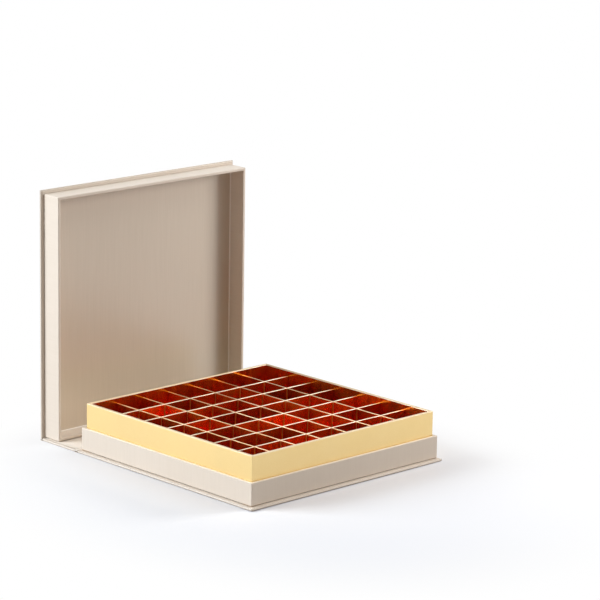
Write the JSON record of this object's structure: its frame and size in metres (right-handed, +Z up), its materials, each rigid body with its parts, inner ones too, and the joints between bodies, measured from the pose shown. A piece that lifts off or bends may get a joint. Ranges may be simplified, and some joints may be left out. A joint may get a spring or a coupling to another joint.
{
  "type": "compartment gift box",
  "caption": "Book-style rigid gift box with a hinged lid tray, a raised gilt neck and a grid of small square cells for wrapped sweets.",
  "frame": {"origin": "centre of the bottom panel's underside, which rests on the table", "axes": "+X from the hinge side to the front of the base, +Y along the hinge, +Z up; the box stands open, with its cover upright"},
  "size_m": [0.3243, 0.264, 0.2648],
  "materials": {
    "pearl_paper": "linen-embossed pearl paper, soft sheen",
    "champagne_lining": "fine-grained pearl lining paper, satin",
    "grey_board": "plain greyboard",
    "kraft_tape": "kraft corner tape",
    "gilt_paper": "satin gold foil laminated on paper",
    "gilt_card": "mirror gold foil laminated on card"
  },
  "bodies": {
    "base": {"bottom_board": "grey_board", "bottom_wrap": "pearl_paper", "bottom_liner": "pearl_paper", "base_tray_board": "grey_board", "base_tray_wrap": "pearl_paper", "base_tray_liner": "champagne_lining", "base_tray_corner_stay_1": "kraft_tape", "base_tray_corner_stay_2": "kraft_tape", "base_tray_corner_stay_3": "kraft_tape", "base_tray_corner_stay_4": "kraft_tape", "neck_board": "grey_board", "neck_wrap": "gilt_paper", "neck_corner_stay_1": "kraft_tape", "neck_corner_stay_2": "kraft_tape", "neck_corner_stay_3": "kraft_tape", "neck_corner_stay_4": "kraft_tape", "floor_card": "gilt_card", "insert_frame": "gilt_card", "long_divider_1": "gilt_card", "long_divider_2": "gilt_card", "long_divider_3": "gilt_card", "long_divider_4": "gilt_card", "long_divider_5": "gilt_card", "long_divider_6": "gilt_card", "cross_divider_1": "gilt_card", "cross_divider_2": "gilt_card", "cross_divider_3": "gilt_card", "cross_divider_4": "gilt_card", "cross_divider_5": "gilt_card", "cross_divider_6": "gilt_card"},
    "spine": {"spine_board": "grey_board", "spine_wrap": "pearl_paper", "spine_liner": "pearl_paper"},
    "lid": {"cover_board": "grey_board", "cover_wrap": "pearl_paper", "cover_liner": "pearl_paper", "lid_tray_board": "grey_board", "lid_tray_wrap": "pearl_paper", "lid_tray_liner": "champagne_lining", "lid_tray_corner_stay_1": "kraft_tape", "lid_tray_corner_stay_2": "kraft_tape", "lid_tray_corner_stay_3": "kraft_tape", "lid_tray_corner_stay_4": "kraft_tape"}
  },
  "joints": [
    {"name": "spine_fold", "type": "hinge", "parent": "base", "child": "spine", "pos_m": [-0.13237, 0, 0], "axis": [0, 1, 0], "range_deg": [0, 90]},
    {"name": "cover_fold", "type": "hinge", "parent": "spine", "child": "lid", "pos_m": [-0.19187, 0, 0], "axis": [0, -1, 0], "range_deg": [0, 90]}
  ]
}
